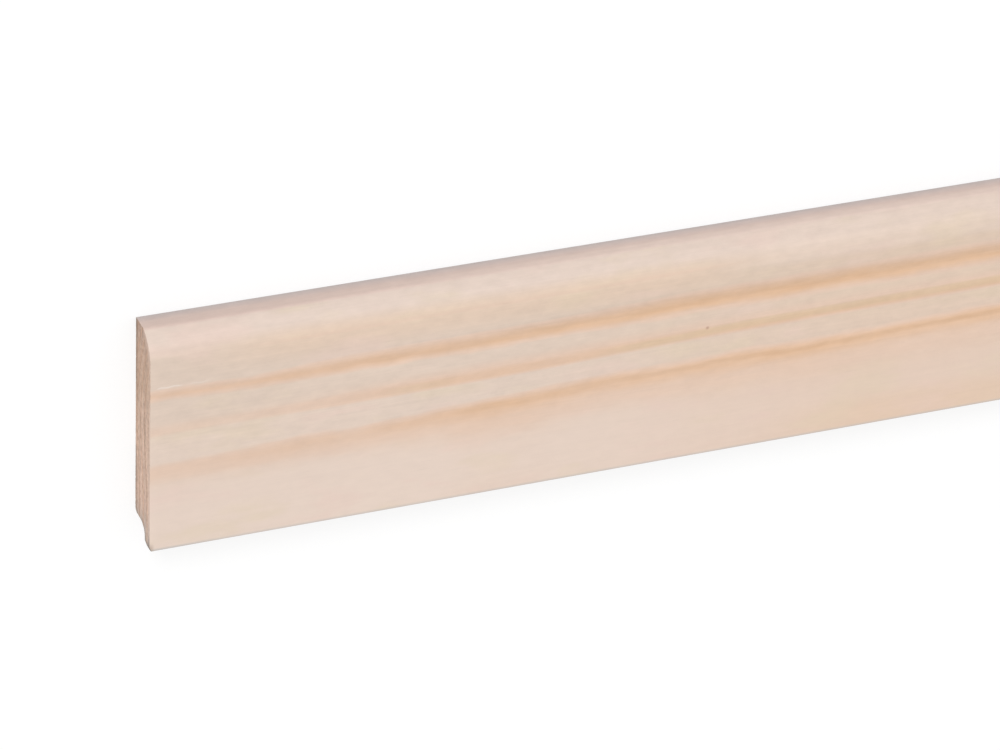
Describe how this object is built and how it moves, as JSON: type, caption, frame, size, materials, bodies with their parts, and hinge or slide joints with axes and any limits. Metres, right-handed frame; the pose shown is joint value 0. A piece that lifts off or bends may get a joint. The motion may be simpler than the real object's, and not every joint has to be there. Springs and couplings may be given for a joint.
{
  "type": "skirting board length",
  "caption": "Length of planed softwood skirting board with a rounded top edge, a flat face and a relief cut along the lower back edge.",
  "frame": {"origin": "centre of the board's box, at the level of its back, on which it lies", "axes": "+X along the board, +Y towards the rounded top edge that is up on the wall, +Z out of the face, away from the wall"},
  "size_m": [2.4, 0.07, 0.013],
  "materials": {
    "pine": "pale softwood, planed smooth and untreated, with sawn ends"
  },
  "bodies": {
    "root": {"skirting_board": "pine"}
  },
  "joints": []
}
